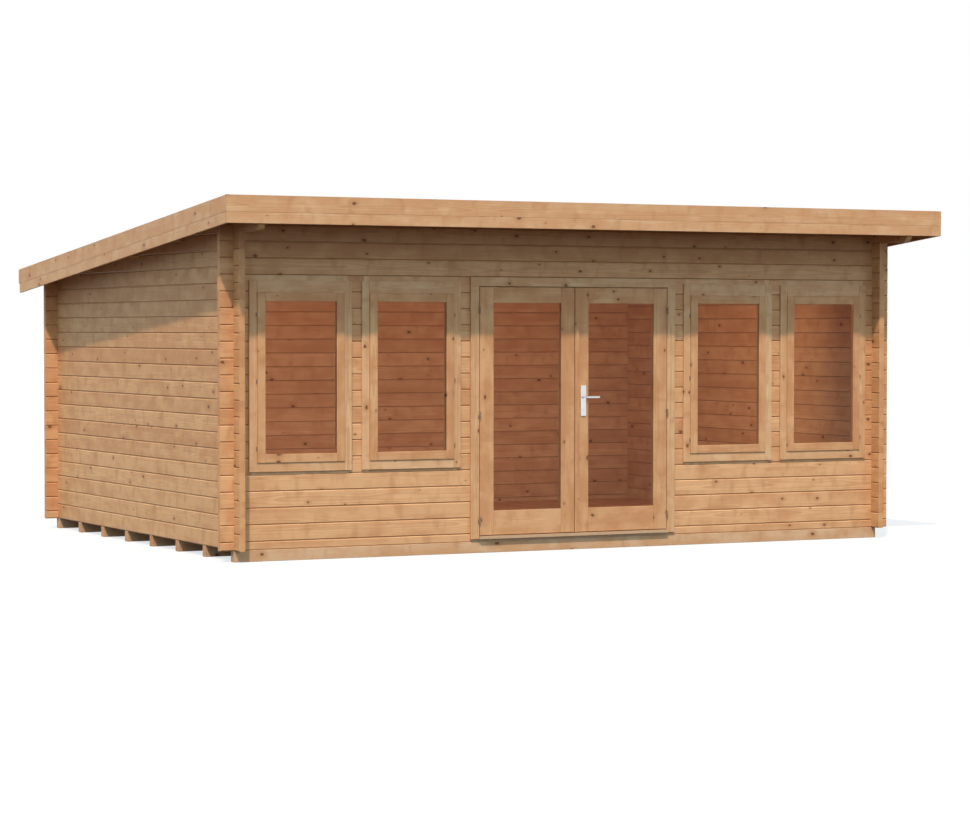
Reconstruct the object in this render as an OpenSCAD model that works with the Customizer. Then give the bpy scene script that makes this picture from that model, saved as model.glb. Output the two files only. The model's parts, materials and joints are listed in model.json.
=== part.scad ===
// Log cabin with a pent roof, a pair of glazed doors and four glazed windows.
// Millimetres, +Z up. The origin is on the ground under the middle of the roof.

/* [Log walls] */
// Width over the outer faces of the side walls
cabin_w = 5300; // [4600:10:6000]
// Depth over the outer faces of the front and back walls
cabin_d = 3800; // [3300:10:4300]
// Height that each log adds to a wall
log_h = 114.5; // [110:0.5:122]
// Thickness of a log
log_t = 44; // [40:1:58]
// Length of a log's tail past the corner
tail = 100; // [60:5:140]
// Height of the chamfer along each edge of a log
chamfer_h = 7; // [3:0.5:10]
// Depth of the chamfer along each edge of a log
chamfer_d = 5; // [2:0.5:8]
// Whole logs in the front wall, above its half log
front_logs = 20; // [19:1:21]
// Whole logs in the back wall, above its half log
back_logs = 17; // [16:1:18]
// Whole logs under the windows, above the half log
sill_logs = 4; // [3:1:6]
// Whole logs up to the heads of the openings, above the half log
head_logs = 16; // [15:1:17]
// Depth planed off the top of the front wall to seat the roof
front_planing = 7; // [4:1:30]
// Depth planed off the top of the back wall to seat the roof
back_planing = 17; // [12:1:40]
// Length that the top logs of the side walls reach past the front wall
arm_len = 460; // [300:5:560]
// Radius of the lower front end of those logs
arm_r = 60; // [20:5:80]

/* [Ground frame] */
// Number of bearers
bearer_count = 8; // [5:1:10]
// Width of a bearer
bearer_w = 60; // [50:1:90]
// Height of a bearer
bearer_h = 80; // [50:1:120]
// Distance of a bearer's end from the outer face of a side wall
bearer_inset = 2; // [0:1:30]
// Thickness of the floor boards
floor_t = 26; // [18:1:32]
// Gap between the floor boards and the walls
floor_gap = 8; // [2:1:15]

/* [Windows] */
// Width over the casing of the windows beside the door
window_w = 770; // [600:5:900]
// Length of the front logs that show between a corner and the casing beside it
corner_w = 111; // [70:1:200]
// Width of the logs that show between two casings
post_w = 78; // [50:1:120]
// Overlap of a casing on the logs beside it
casing_lap = 20; // [10:1:25]
// Distance that a window's casing stands out of the wall
casing_out = 14; // [8:1:22]
// Width of casing at a window's sides
casing_side = 57; // [40:1:75]
// Height of casing at a window's foot
casing_foot = 63; // [40:1:90]
// Height of casing at a window's head
casing_head = 84; // [50:1:100]
// Height of frame that shows under the casing
foot_reveal = 20; // [8:1:30]
// Height of frame that shows over the casing
head_reveal = 37; // [8:1:45]
// Width of a sash's side members
sash_side = 60; // [45:1:85]
// Height of a sash's foot member
sash_foot = 60; // [45:1:85]
// Height of a sash's head member
sash_head = 60; // [45:1:85]
// Thickness of a sash
sash_t = 44; // [36:1:50]
// Distance that a sash stands out of its casing
sash_out = 8; // [4:1:12]
// Thickness of the glass units
glass_t = 14; // [4:1:24]
// Distance of the glass behind the face of its sash or door leaf
glass_set = 8; // [4:1:11]

/* [Doors] */
// Width over the door's casing
door_w = 1686; // [1400:2:2000]
// Distance that the door's casing stands out of the wall
door_out = 18; // [12:1:22]
// Width of a door jamb
jamb_w = 66; // [50:1:85]
// Height of the door's head member
head_h = 65; // [50:1:85]
// Height of the threshold
threshold_h = 42; // [30:1:60]
// Height of the nose along the threshold's front, between the feet of the jambs
nose_h = 22; // [12:1:28]
// Distance that the threshold's nose stands out of the wall
threshold_out = 31; // [20:1:40]
// Thickness of a door leaf
leaf_t = 44; // [36:1:46]
// Running gap around the leaves
leaf_gap = 5; // [5:0.5:7]
// Amount by which a meeting edge is bevelled back
meeting_bevel = 4; // [3:0.5:8]
// Width of a leaf's stiles
stile_w = 111; // [100:1:135]
// Height of a leaf's top rail
top_rail = 114; // [90:1:140]
// Height of a leaf's bottom rail
bottom_rail = 174; // [120:1:240]
// Overlap of the stop behind a leaf
stop_w = 18; // [8:1:25]
// Width of the cover strip on the right leaf's meeting edge
strip_w = 30; // [20:1:34]
// Distance that the cover strip stands out of the leaf
strip_out = 8; // [4:1:12]

/* [Hinges] */
// Radius of a hinge's knuckles
knuckle_r = 6.5; // [5.5:0.1:7.5]
// Radius of a hinge's pin
pin_r = 3; // [2:0.1:4]
// Radial clearance of the pin in the upper knuckle
pin_clear = 0.2; // [0.1:0.05:0.4]
// Length of one knuckle
knuckle_len = 25; // [24:1:40]
// Gap between the two knuckles of a hinge
knuckle_gap = 0.4; // [0.3:0.1:0.8]
// Distance of the hinge's axis in front of the door's face
axis_out = 7.5; // [7:0.1:8.5]
// Thickness of a hinge's flaps
flap_t = 2; // [1.5:0.1:3]
// Width of a hinge's flaps
flap_w = 12; // [12:1:26]
// Distance of the lowest hinge's middle from the leaf's foot
hinge_foot = 110; // [100:5:260]
// Distance of the highest hinge's middle from the leaf's top
hinge_head = 165; // [120:5:260]

/* [Door handle] */
// Width of a handle plate
plate_w = 44; // [36:1:50]
// Height of a handle plate
plate_h = 222; // [160:1:250]
// Thickness of a handle plate
plate_t = 8; // [5:1:12]
// Height of the spindle over the foot of the walls
spindle_z = 1026; // [950:1:1100]
// Distance of the spindle above the middle of its plate
spindle_rise = 26; // [0:1:50]
// Distance of the spindle from the right leaf's meeting edge
backset = 65; // [62:1:72]
// Radius of the spindle
spindle_r = 9; // [6:0.5:11]
// Radial clearance of the spindle in the plates
spindle_clear = 0.3; // [0.2:0.1:0.8]
// Radius of the lever's grip
lever_r = 8; // [6:0.5:10]
// Length of the lever's grip from the spindle's axis
lever_len = 132; // [90:1:150]
// Distance of the grip's axis from its plate
lever_out = 46; // [35:1:60]

/* [Roof] */
// Reach of the roof past the front ends of the top logs
arm_clear = 27; // [25:1:90]
// Reach of the roof past the side walls
side_over = 245; // [160:1:320]
// Reach of the roof past the back wall
back_over = 192; // [140:1:280]
// Thickness of the roof boards
deck_t = 19; // [16:1:28]
// Play under the roof boards and under the upper fascia boards
seat_play = 0.05; // [0.02:0.01:0.2]
// Thickness of the roof covering
cover_t = 4; // [2:0.5:6]
// Height of the fascia's top above the roof boards
fascia_lip = 6; // [6:1:12]
// Height of the upper fascia boards
fascia_upper = 112; // [90:1:140]
// Height of the lower fascia boards
fascia_lower = 75; // [50:1:110]
// Thickness of the upper fascia boards
fascia_t = 20; // [15:1:24]
// Distance that the lower fascia boards stand back
fascia_step = 1; // [1:0.5:8]
// Width of a purlin
purlin_w = 44; // [36:1:60]
// Height of a purlin
purlin_h = 110; // [80:1:130]
// Purlins between the front and back walls
purlin_count = 3; // [2:1:4]
// Distance of the front purlin's middle behind the ends of the top logs
purlin_inset = 60; // [40:5:90]

/* [Hidden] */

// Colours of the finishes
log_colour = "peru";
trim_colour = "burlywood";
metal_colour = "silver";
brass_colour = "darkgoldenrod";
glass_colour = [0.75, 0.85, 0.88, 0.35];
felt_colour = "dimgray";

// Margin by which a cutting shape passes the piece that it cuts
past = 5;

// Faces of the walls and edges of the roof
half_w = cabin_w / 2;
front_over = arm_len + arm_clear;
roof_d = front_over + cabin_d + back_over;
roof_y0 = -roof_d / 2;
roof_y1 = roof_d / 2;
front_y = roof_y0 + front_over;
back_y = front_y + cabin_d;
roof_half_w = half_w + side_over;

// Heights: the walls stand on the bearers
foot_z = bearer_h;
front_h = log_h * (front_logs + 0.5) - front_planing;
back_h = log_h * (back_logs + 0.5) - back_planing;
roof_slope = (front_h - back_h) / cabin_d;
sill_z = foot_z + log_h * (sill_logs + 0.5);
head_z = foot_z + log_h * (head_logs + 0.5);
fascia_top = deck_t + fascia_lip;
fascia_joint = fascia_top - fascia_upper;
fascia_foot = fascia_joint - fascia_lower;

// Courses of logs: the front and back walls begin with a half log
sill_course = sill_logs + 1;
head_course = head_logs + 1;
front_course = front_logs + 1;
back_course = back_logs + 1;
arm_course = front_logs - 1;
side_course = front_logs + 2;
clear_z = foot_z + log_h * (side_course + 1);

// Places of the openings along the front wall
door_x0 = -door_w / 2;
inner_x = -door_x0 + post_w;
outer_x = inner_x + window_w + post_w;
outer_w = half_w - corner_w - outer_x;
// Left edge and width of each window's casing, from left to right
windows = [[-outer_x - outer_w, outer_w], [-inner_x - window_w, window_w],
    [inner_x, window_w], [outer_x, outer_w]];

// Places of the sashes
sash_y = front_y - casing_out - sash_out;
sash_z0 = sill_z + foot_reveal + casing_foot;
sash_z1 = head_z - head_reveal - casing_head;

// Places of the door's pieces
door_face_y = front_y - door_out;
stop_y = door_face_y + leaf_t + leaf_gap;
threshold_z = foot_z + threshold_h;
leaf_z0 = threshold_z + leaf_gap;
leaf_z1 = head_z - head_h - leaf_gap;
leaf_hinge_x = -door_x0 - jamb_w - leaf_gap;
leaf_meet_x = leaf_gap / 2;
leaf_w = leaf_hinge_x - leaf_meet_x;
glass_w = leaf_w - 2 * stile_w;
glass_z0 = leaf_z0 + bottom_rail;
glass_h = leaf_z1 - top_rail - glass_z0;
axis_x = leaf_hinge_x + leaf_gap / 2;
axis_y = door_face_y - axis_out;
low_hinge_z = leaf_z0 + hinge_foot;
high_hinge_z = leaf_z1 - hinge_head;
hinge_z = [low_hinge_z, (low_hinge_z + high_hinge_z) / 2, high_hinge_z];
spindle_x = leaf_meet_x + backset;

// Places of the purlins along Y
purlin_step = cabin_d / (purlin_count + 1);
purlin_y = concat([front_y - arm_len + purlin_inset],
    [for (i = [1:purlin_count]) front_y + i * purlin_step]);

// Height of the roof boards' underside at a place along Y
function roof_z(y) = foot_z + front_h - roof_slope * (y - front_y);

// Height of the lower edge of a course in a wall that begins with a half log
function half_edge(course) = course == 0 ? 0 : log_h * (course - 0.5);

// Heights of the log edges between two courses
function half_edges(first, last) = [for (i = [first:last]) half_edge(i)];
function whole_edges(first, last) = [for (i = [first:last]) log_h * i];

// One side of a stack of chamfered logs, from the bottom up
function stack_side(edges, side) = concat(
    [for (i = [0:len(edges) - 2])
        each [[side * (log_t / 2 - chamfer_d), edges[i]],
            [side * log_t / 2, edges[i] + chamfer_h],
            [side * log_t / 2, edges[i + 1] - chamfer_h]]],
    [[side * (log_t / 2 - chamfer_d), edges[len(edges) - 1]]]);

function reversed(points) = [for (i = [len(points) - 1:-1:0]) points[i]];

// Section across a stack of logs
module log_section(edges) {
    polygon(concat(stack_side(edges, 1), reversed(stack_side(edges, -1))));
}

// Logs along X between two places, on the wall line at y
module logs_along_x(edges, x0, x1, y) {
    translate([x0, y, foot_z]) rotate([90, 0, 90]) linear_extrude(x1 - x0) log_section(edges);
}

// Logs along Y between two places, on the wall line at x
module logs_along_y(edges, y0, y1, x) {
    translate([x, y1, foot_z]) rotate([90, 0, 0]) linear_extrude(y1 - y0) log_section(edges);
}

// Box between two corners
module box(low, high) {
    translate(low) cube(high - low);
}

// Slab that follows the roof between two places along Y, with plumb ends
module roof_slab(x0, x1, y0, y1, low, high) {
    translate([x0, 0, 0]) rotate([90, 0, 90]) linear_extrude(x1 - x0)
        polygon([[y0, roof_z(y0) + low], [y1, roof_z(y1) + low],
            [y1, roof_z(y1) + high], [y0, roof_z(y0) + high]]);
}

// Space above the underside of the roof boards
module above_roof() {
    translate([-roof_half_w, 0, 0]) rotate([90, 0, 90]) linear_extrude(2 * roof_half_w)
        polygon([[roof_y0, roof_z(roof_y0)], [roof_y1, roof_z(roof_y1)],
            [roof_y1, clear_z], [roof_y0, clear_z]]);
}

// Notches in the front and back walls that the side walls' logs fill
module side_log_notches(first, last, y) {
    for (side = [-1, 1], k = [first:last])
        translate([side * (half_w - log_t / 2), y, foot_z + log_h * (k + 0.5)])
            cube([log_t, log_t + 2 * past, log_h / 2], center = true);
}

// Notches in the side walls that the front and back walls' logs fill
module end_log_notches(first, last, x) {
    for (y = [front_y + log_t / 2, back_y - log_t / 2], k = [first:last])
        translate([x, y, foot_z + log_h * k])
            cube([log_t + 2 * past, log_t, log_h / 2], center = true);
}

// Every purlin, for the purlins themselves and for their seats
module purlin_bars() {
    for (y = purlin_y)
        roof_slab(-roof_half_w + fascia_t, roof_half_w - fascia_t, y - purlin_w / 2, y + purlin_w / 2,
            -purlin_h, 0);
}

// Part of a front or back wall between two courses
module end_wall(first, last, x0, x1, y) {
    difference() {
        logs_along_x(half_edges(first, last), x0, x1, y);
        side_log_notches(max(first - 2, 0), last, y);
        above_roof();
    }
}

// Part of a side wall between two courses
module side_wall(first, last, y0, y1, x) {
    difference() {
        logs_along_y(whole_edges(first, last), y0, y1, x);
        end_log_notches(first, last, x);
        above_roof();
        purlin_bars();
    }
}

// Side wall below the top logs, on the side given
module lower_side_wall(side) {
    side_wall(0, arm_course, front_y - tail, back_y + tail, side * (half_w - log_t / 2));
}

// Top logs of a side wall, which reach out under the front of the roof
module top_logs(side) {
    x = side * (half_w - log_t / 2);
    end_y = front_y - arm_len;
    under_z = foot_z + log_h * arm_course;
    difference() {
        side_wall(arm_course, side_course, end_y, back_y, x);
        translate([x, end_y, under_z]) difference() {
            translate([-log_t, -arm_r, -arm_r]) cube([2 * log_t, 2 * arm_r, 2 * arm_r]);
            translate([-log_t, arm_r, -arm_r]) cube([2 * log_t, 2 * arm_r, 2 * arm_r]);
            translate([-log_t, -arm_r, arm_r]) cube([2 * log_t, 2 * arm_r, 2 * arm_r]);
            translate([-log_t, arm_r, arm_r]) rotate([0, 90, 0]) cylinder(r = arm_r, h = 2 * log_t, $fn = 64);
        }
    }
}

// Logs under the windows, on the side given
module front_sill(side) {
    x_end = half_w + tail;
    x_door = -door_x0 - casing_lap;
    end_wall(0, sill_course, side < 0 ? -x_end : x_door, side < 0 ? -x_door : x_end, front_y + log_t / 2);
}

// Short logs between a corner and its window, on the side given
module front_corner(side) {
    x_end = half_w + tail;
    x_window = half_w - corner_w - casing_lap;
    end_wall(sill_course, head_course, side < 0 ? -x_end : x_window, side < 0 ? -x_window : x_end,
        front_y + log_t / 2);
}

// Block across a window, narrower than its casing by an inset on each side
module window_block(window, inset, y0, y1, z0, z1) {
    box([window[0] + inset, y0, z0], [window[0] + window[1] - inset, y1, z1]);
}

// Frame with a through opening: casing outside, body in the wall
module window_frame(window) {
    difference() {
        union() {
            window_block(window, 0, front_y - casing_out, front_y,
                sill_z + foot_reveal, head_z - head_reveal);
            window_block(window, casing_lap, front_y, front_y + log_t, sill_z, head_z);
        }
        window_block(window, casing_side, front_y - casing_out - past, front_y + log_t + past,
            sash_z0, sash_z1);
    }
}

// Sash that fills a window frame
module window_sash(window) {
    difference() {
        window_block(window, casing_side, sash_y, sash_y + sash_t, sash_z0, sash_z1);
        window_pane(window, sash_y - past, sash_y + sash_t + past);
    }
}

// Block the size of a window's glass, between two places along Y
module window_pane(window, y0, y1) {
    window_block(window, casing_side + sash_side, y0, y1, sash_z0 + sash_foot, sash_z1 - sash_head);
}

// Left door jamb: casing, body and the stop behind the leaf, and the casing's foot beside the threshold's nose
module door_jamb() {
    translate([door_x0, front_y, threshold_z]) linear_extrude(head_z - head_h - threshold_z)
        polygon([[0, -door_out], [jamb_w, -door_out], [jamb_w, stop_y - front_y],
            [jamb_w + stop_w, stop_y - front_y], [jamb_w + stop_w, log_t],
            [casing_lap, log_t], [casing_lap, 0], [0, 0]]);
    box([door_x0, door_face_y, threshold_z - nose_h], [door_x0 + jamb_w, front_y, threshold_z]);
}

// Door leaf on the right, whose meeting edge is bevelled, with the hole for its glass
module door_leaf() {
    difference() {
        translate([0, door_face_y, leaf_z0]) linear_extrude(leaf_z1 - leaf_z0)
            polygon([[leaf_meet_x, 0], [leaf_hinge_x, 0], [leaf_hinge_x, leaf_t],
                [leaf_meet_x + meeting_bevel, leaf_t]]);
        door_pane(door_face_y - past, door_face_y + leaf_t + past);
    }
}

// Block the size of the right leaf's glass, between two places along Y
module door_pane(y0, y1) {
    x0 = leaf_meet_x + stile_w;
    box([x0, y0, glass_z0], [x0 + glass_w, y1, glass_z0 + glass_h]);
}

// Lower half of each hinge on the right: knuckle, pin and the flap on the jamb
module hinge_frame_halves() {
    for (z = hinge_z) {
        translate([axis_x, axis_y, z - knuckle_len]) cylinder(r = knuckle_r, h = knuckle_len, $fn = 48);
        translate([axis_x, axis_y, z - pin_r]) cylinder(r = pin_r, h = knuckle_len, $fn = 48);
        box([axis_x, door_face_y - flap_t, z - knuckle_len], [axis_x + flap_w, door_face_y, z]);
    }
}

// Upper half of each hinge on the right: bored knuckle and the flap on the leaf
module hinge_leaf_halves() {
    for (z = hinge_z) {
        z0 = z + knuckle_gap;
        difference() {
            union() {
                translate([axis_x, axis_y, z0]) cylinder(r = knuckle_r, h = knuckle_len, $fn = 48);
                box([axis_x - flap_w, door_face_y - flap_t, z0], [axis_x, door_face_y, z0 + knuckle_len]);
            }
            translate([axis_x, axis_y, z0 - past])
                cylinder(r = pin_r + pin_clear, h = knuckle_len + past, $fn = 48);
        }
    }
}

// Round bar along Y through the right leaf at the spindle
module spindle_bar(r, y0, y1) {
    translate([spindle_x, y0, foot_z + spindle_z]) rotate([-90, 0, 0]) cylinder(r = r, h = y1 - y0, $fn = 48);
}

// Fascia boards along one side of the roof, between two heights over the roof boards' underside
module side_fascia(side, inset, low, high) {
    x_out = roof_half_w - inset;
    x_in = roof_half_w - fascia_t;
    roof_slab(side < 0 ? -x_out : x_in, side < 0 ? -x_in : x_out, roof_y0 + fascia_t, roof_y1 - fascia_t,
        low, high);
}

// Fascia boards across the front or back of the roof, over the ends of the side boards
module end_fascia(inset, y0, y1, low, high) {
    x_out = roof_half_w - inset;
    roof_slab(-x_out, x_out, y0, y1, low, high);
}

module bearers() color(trim_colour)
    for (i = [0:bearer_count - 1]) {
        y0 = front_y + i * (cabin_d - bearer_w) / (bearer_count - 1);
        box([-half_w + bearer_inset, y0, 0], [half_w - bearer_inset, y0 + bearer_w, bearer_h]);
    }

module floor_deck() color(trim_colour) {
    inset = log_t + floor_gap;
    box([-half_w + inset, front_y + inset, foot_z], [half_w - inset, back_y - inset, foot_z + floor_t]);
}

module left_wall() color(log_colour) lower_side_wall(-1);
module right_wall() color(log_colour) lower_side_wall(1);
module left_top_logs() color(log_colour) top_logs(-1);
module right_top_logs() color(log_colour) top_logs(1);

module back_wall() color(log_colour)
    end_wall(0, back_course, -half_w - tail, half_w + tail, back_y - log_t / 2);

module front_sill_left() color(log_colour) front_sill(-1);
module front_sill_right() color(log_colour) front_sill(1);
module front_corner_left() color(log_colour) front_corner(-1);
module front_corner_right() color(log_colour) front_corner(1);

module front_posts() color(log_colour)
    for (x0 = [-outer_x, door_x0 - post_w, -door_x0, outer_x - post_w])
        logs_along_x(half_edges(sill_course, head_course), x0 - casing_lap, x0 + post_w + casing_lap,
            front_y + log_t / 2);

module front_header() color(log_colour)
    end_wall(head_course, front_course, -half_w - tail, half_w + tail, front_y + log_t / 2);

module door_jamb_left() color(trim_colour) door_jamb();
module door_jamb_right() color(trim_colour) mirror([1, 0, 0]) door_jamb();

module door_head() color(trim_colour) {
    z0 = head_z - head_h;
    stop_x = -door_x0 - jamb_w - stop_w;
    box([door_x0, door_face_y, z0], [-door_x0, front_y, head_z]);
    box([door_x0 + casing_lap, front_y, z0], [-door_x0 - casing_lap, front_y + log_t, head_z]);
    box([-stop_x, stop_y, z0 - stop_w], [stop_x, front_y + log_t, z0]);
}

module door_threshold() color(metal_colour) {
    nose_x = -door_x0 - jamb_w;
    box([-nose_x, front_y - threshold_out, threshold_z - nose_h], [nose_x, front_y, threshold_z]);
    box([door_x0 + casing_lap, front_y, foot_z], [-door_x0 - casing_lap, front_y + log_t, threshold_z]);
}

module door_leaf_left() color(trim_colour) mirror([1, 0, 0]) door_leaf();

module door_leaf_right() color(trim_colour) difference() {
    union() {
        door_leaf();
        box([leaf_meet_x, door_face_y - strip_out, leaf_z0], [leaf_meet_x + strip_w, door_face_y, leaf_z1]);
    }
    spindle_bar(spindle_r + spindle_clear, door_face_y - past, door_face_y + leaf_t + past);
}

module door_glass_left() color(glass_colour) mirror([1, 0, 0]) door_glass();
module door_glass_right() color(glass_colour) door_glass();
module door_glass() {
    y0 = door_face_y + glass_set;
    door_pane(y0, y0 + glass_t);
}

module hinges_frame() color(brass_colour) {
    hinge_frame_halves();
    mirror([1, 0, 0]) hinge_frame_halves();
}

module hinges_leaf_left() color(brass_colour) mirror([1, 0, 0]) hinge_leaf_halves();
module hinges_leaf_right() color(brass_colour) hinge_leaf_halves();

module handle_plates() color(metal_colour) difference() {
    z_mid = foot_z + spindle_z - spindle_rise;
    for (y = [door_face_y - plate_t, door_face_y + leaf_t])
        box([spindle_x - plate_w / 2, y, z_mid - plate_h / 2],
            [spindle_x + plate_w / 2, y + plate_t, z_mid + plate_h / 2]);
    spindle_bar(spindle_r + spindle_clear, door_face_y - plate_t - past,
        door_face_y + leaf_t + plate_t + past);
}

module door_lever() color(metal_colour) {
    y_out = door_face_y - plate_t - lever_out;
    y_in = door_face_y + leaf_t + plate_t + lever_out;
    spindle_bar(spindle_r, y_out, y_in);
    for (y = [y_out, y_in]) translate([spindle_x, y, foot_z + spindle_z]) {
        sphere(r = spindle_r, $fn = 48);
        rotate([0, 90, 0]) cylinder(r = lever_r, h = lever_len - lever_r, $fn = 48);
        translate([lever_len - lever_r, 0, 0]) sphere(r = lever_r, $fn = 48);
    }
}

module window_frame_1() color(trim_colour) window_frame(windows[0]);
module window_frame_2() color(trim_colour) window_frame(windows[1]);
module window_frame_3() color(trim_colour) window_frame(windows[2]);
module window_frame_4() color(trim_colour) window_frame(windows[3]);
module window_sash_1() color(trim_colour) window_sash(windows[0]);
module window_sash_2() color(trim_colour) window_sash(windows[1]);
module window_sash_3() color(trim_colour) window_sash(windows[2]);
module window_sash_4() color(trim_colour) window_sash(windows[3]);

module window_glass() color(glass_colour) {
    y0 = sash_y + glass_set;
    for (window = windows) window_pane(window, y0, y0 + glass_t);
}

module purlins() color(trim_colour) purlin_bars();

module roof_deck() color(trim_colour)
    roof_slab(-roof_half_w + fascia_t, roof_half_w - fascia_t, roof_y0 + fascia_t, roof_y1 - fascia_t,
        seat_play, deck_t);

module roof_covering() color(felt_colour)
    roof_slab(-roof_half_w + fascia_t, roof_half_w - fascia_t, roof_y0 + fascia_t, roof_y1 - fascia_t,
        deck_t, deck_t + cover_t);

module fascia_front_upper() color(trim_colour)
    end_fascia(0, roof_y0, roof_y0 + fascia_t, fascia_joint, fascia_top);
module fascia_front_lower() color(trim_colour)
    end_fascia(fascia_step, roof_y0 + fascia_step, roof_y0 + fascia_t, fascia_foot, fascia_joint - seat_play);
module fascia_back_upper() color(trim_colour)
    end_fascia(0, roof_y1 - fascia_t, roof_y1, fascia_joint, fascia_top);
module fascia_left_upper() color(trim_colour) side_fascia(-1, 0, fascia_joint, fascia_top);
module fascia_left_lower() color(trim_colour)
    side_fascia(-1, fascia_step, fascia_foot, fascia_joint - seat_play);
module fascia_right_upper() color(trim_colour) side_fascia(1, 0, fascia_joint, fascia_top);
module fascia_right_lower() color(trim_colour)
    side_fascia(1, fascia_step, fascia_foot, fascia_joint - seat_play);

bearers();
floor_deck();
left_wall();
right_wall();
left_top_logs();
right_top_logs();
back_wall();
front_sill_left();
front_sill_right();
front_corner_left();
front_corner_right();
front_posts();
front_header();
door_jamb_left();
door_jamb_right();
door_head();
door_threshold();
door_leaf_left();
door_leaf_right();
door_glass_left();
door_glass_right();
hinges_frame();
hinges_leaf_left();
hinges_leaf_right();
handle_plates();
door_lever();
window_frame_1();
window_frame_2();
window_frame_3();
window_frame_4();
window_sash_1();
window_sash_2();
window_sash_3();
window_sash_4();
window_glass();
purlins();
roof_deck();
roof_covering();
fascia_front_upper();
fascia_front_lower();
fascia_back_upper();
fascia_left_upper();
fascia_left_lower();
fascia_right_upper();
fascia_right_lower();
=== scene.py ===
"""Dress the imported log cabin: timber, glass and metal finishes, jointed joinery, boards and fittings."""

from __future__ import annotations

import json
import logging
import math
import random
from collections.abc import Callable
from dataclasses import dataclass, field
from enum import Enum

import bmesh
import bpy
from mathutils import Matrix, Vector

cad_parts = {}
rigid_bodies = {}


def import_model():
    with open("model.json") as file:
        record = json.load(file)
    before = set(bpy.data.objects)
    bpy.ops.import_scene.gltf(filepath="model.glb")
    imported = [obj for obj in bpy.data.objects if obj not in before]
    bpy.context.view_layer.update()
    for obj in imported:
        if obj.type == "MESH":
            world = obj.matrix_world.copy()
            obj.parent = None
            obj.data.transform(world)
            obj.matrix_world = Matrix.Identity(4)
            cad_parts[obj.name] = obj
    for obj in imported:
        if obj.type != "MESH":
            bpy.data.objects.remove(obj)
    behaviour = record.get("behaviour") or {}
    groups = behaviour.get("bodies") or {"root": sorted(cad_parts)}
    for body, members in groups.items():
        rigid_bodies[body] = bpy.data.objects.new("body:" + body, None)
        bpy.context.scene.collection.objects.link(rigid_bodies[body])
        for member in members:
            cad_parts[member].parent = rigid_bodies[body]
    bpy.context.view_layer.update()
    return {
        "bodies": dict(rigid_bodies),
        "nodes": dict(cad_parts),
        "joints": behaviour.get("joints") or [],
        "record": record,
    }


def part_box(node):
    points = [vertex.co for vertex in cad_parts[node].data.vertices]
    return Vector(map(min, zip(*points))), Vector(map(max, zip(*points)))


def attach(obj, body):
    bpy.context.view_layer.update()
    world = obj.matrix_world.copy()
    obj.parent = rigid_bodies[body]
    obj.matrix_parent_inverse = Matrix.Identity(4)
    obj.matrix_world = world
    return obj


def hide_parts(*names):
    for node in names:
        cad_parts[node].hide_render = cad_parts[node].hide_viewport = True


LOG = logging.getLogger("cabin")

Pair = tuple[float, float]
Triple = tuple[float, float, float]
Colour = Triple
Corner = Vector | Triple
Socket = bpy.types.NodeSocket
Feed = bpy.types.NodeSocket | float | tuple
Mesh = bmesh.types.BMesh
Trim = Callable[[Mesh], None]

# Widths of eased edges, in metres
FINE_EASE = 0.001
EASE = 0.002
SOFT_EASE = 0.003
# Turn in radians past which two faces meet at a sharp edge
SHARP = 1.0
# Distance in metres within which two places are the same
SAME = 1e-4
# Length in metres of the trunk that a board's grain is drawn from
TRUNK = 40.0
# Part of a face's normal along the grain past which the face is a cut end
CUT_FACING = 0.8
QUARTER_TURN = math.pi / 2
WHITE = (1.0, 1.0, 1.0)


class Axis(Enum):
    """Direction that a timber lies along."""

    X = 0
    Y = 1
    Z = 2


class Side(Enum):
    """Side of the cabin, as the sign of its X."""

    LEFT = -1
    RIGHT = 1


class Stack(Enum):
    """Share of a log that a wall's stack starts with."""

    WHOLE = 0.0
    HALF = 0.5


class Body(Enum):
    """Moving body that a piece rides on."""

    CABIN = "cabin"
    LEFT_LEAF = "left_leaf"
    RIGHT_LEAF = "right_leaf"
    LEVER = "lever"


class Slot(Enum):
    """Material slot of the record that a piece's finish belongs with."""

    JOINERY = "joinery_wood"
    FASCIA = "fascia_wood"
    BOARDS = "board_wood"
    BEARERS = "bearer_wood"
    ROOF = "roof_membrane"
    HANDLE = "handle_metal"
    HINGE = "hinge_metal"


class Seed(Enum):
    """Start of the draw of tones for each kind of timber."""

    BEARERS = 11
    FLOOR = 12
    CASING = 20
    SASH = 30
    DOOR_FRAME = 40
    LEAF = 50
    PURLINS = 60
    ROOF_BOARDS = 61
    LOWER_FASCIA = 228
    UPPER_FASCIA = 237


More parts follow.
